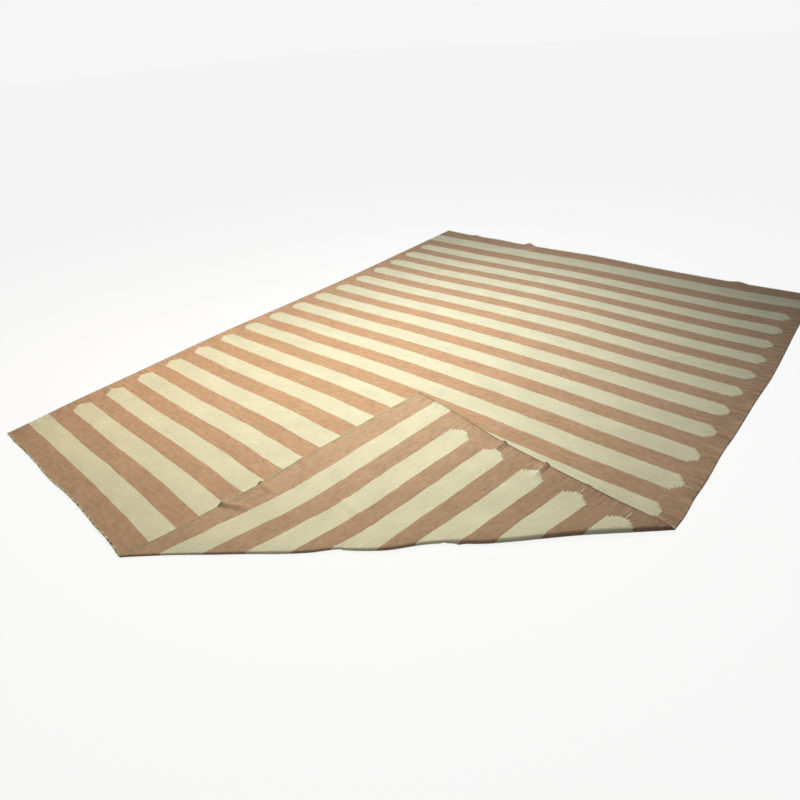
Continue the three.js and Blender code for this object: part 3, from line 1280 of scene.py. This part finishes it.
def studio_floor(colours):
    """A matt pale floor that shows nearly white and keeps a soft shadow under the roll."""
    paint = Paint("studio floor", roughness=0.9)
    paint.shader.inputs["Base Color"].default_value = opaque(colours.floor)
    glow = paint.node("ShaderNodeEmission", {}, {"Color": WHITE})
    seen = paint.node("ShaderNodeLightPath", {}, {})
    inputs = {0: seen * FLOOR_GLOW, 1: Value(paint, paint.shader.outputs[0]), 2: glow}
    both = paint.node("ShaderNodeMixShader", {}, inputs)
    paint.tree.links.new(both.socket, paint.tree.nodes["Material Output"].inputs["Surface"])
    return paint.material


def camera_matrix():
    """The camera's place and turn in the frame."""
    flat = Vector((sin(EYE_ROUND), cos(EYE_ROUND), 0))
    forward = flat * cos(EYE_DOWN) - Vector((0, 0, sin(EYE_DOWN)))
    level = forward.cross(Vector((0, 0, 1))).normalized()
    upright = level.cross(forward)
    right = level * cos(EYE_ROLL) + upright * sin(EYE_ROLL)
    up = upright * cos(EYE_ROLL) - level * sin(EYE_ROLL)
    matrix = Matrix((right, up, -forward)).transposed().to_4x4()
    matrix.translation = Vector(EYE) - Vector(PLAN_MIDDLE)
    return matrix


class DHURRIE_OT_stage(bpy.types.Operator):
    """Lay the pale floor, hang the soft lamps and set the camera"""

    bl_idname = "dhurrie.stage"
    bl_label = "Set the stage"

    def execute(self, context):
        scene = context.scene
        bpy.ops.object.select_all(action="DESELECT")
        bpy.ops.mesh.primitive_plane_add(size=FLOOR_SIZE)
        floor = context.object
        floor.name = "floor"
        floor.data.materials.append(studio_floor(scene.dhurrie_colours))

        for name, (place, width, power, colour) in LAMPS.items():
            bpy.ops.object.light_add(type="AREA", location=Vector(place) - Vector(PLAN_MIDDLE))
            lamp = context.object
            lamp.name = name
            lamp.visible_camera = False
            lamp.data.size = width
            lamp.data.energy = power
            lamp.data.color = colour

        bpy.ops.object.camera_add()
        camera = context.object
        camera.name = "camera"
        camera.matrix_world = camera_matrix()
        camera.data.lens = LENS
        camera.data.shift_x, camera.data.shift_y = SHIFT
        scene.camera = camera

        world = bpy.data.worlds.new("studio")
        world.use_nodes = True
        nodes, links = world.node_tree.nodes, world.node_tree.links
        background = nodes["Background"]
        background.inputs["Color"].default_value = WHITE
        seen = nodes.new("ShaderNodeMapRange")
        seen.inputs["To Min"].default_value = ROOM_LIGHT
        seen.inputs["To Max"].default_value = FLOOR_GLOW + ROOM_LIGHT
        links.new(nodes.new("ShaderNodeLightPath").outputs["Is Camera Ray"], seen.inputs["Value"])
        links.new(seen.outputs["Result"], background.inputs["Strength"])
        scene.world = world
        scene.view_settings.view_transform = "Standard"
        return {"FINISHED"}


class DHURRIE_PT_panel(bpy.types.Panel):
    """Buttons for each piece, and the sizes and colours"""

    bl_idname = "DHURRIE_PT_panel"
    bl_label = "Dhurrie rug"
    bl_space_type = "VIEW_3D"
    bl_region_type = "UI"
    bl_category = "Dhurrie"

    def draw(self, context):
        for operator in OPERATORS:
            self.layout.operator(operator.bl_idname)
        for group in (context.scene.dhurrie_sizes, context.scene.dhurrie_colours):
            for name in group.__annotations__:
                self.layout.prop(group, name)


OPERATORS = (DHURRIE_OT_stage, DHURRIE_OT_cloth, DHURRIE_OT_ends)
CLASSES = (DhurrieSizes, DhurrieColours, *OPERATORS, DHURRIE_PT_panel)


def register():
    for cls in CLASSES:
        bpy.utils.register_class(cls)
    bpy.types.Scene.dhurrie_sizes = bpy.props.PointerProperty(type=DhurrieSizes)
    bpy.types.Scene.dhurrie_colours = bpy.props.PointerProperty(type=DhurrieColours)


def unregister():
    del bpy.types.Scene.dhurrie_colours
    del bpy.types.Scene.dhurrie_sizes
    for cls in reversed(CLASSES):
        bpy.utils.unregister_class(cls)


def main():
    register()
    bpy.ops.dhurrie.stage()
    bpy.ops.dhurrie.cloth()
    bpy.ops.dhurrie.ends()


if __name__ == "__main__":
    main()
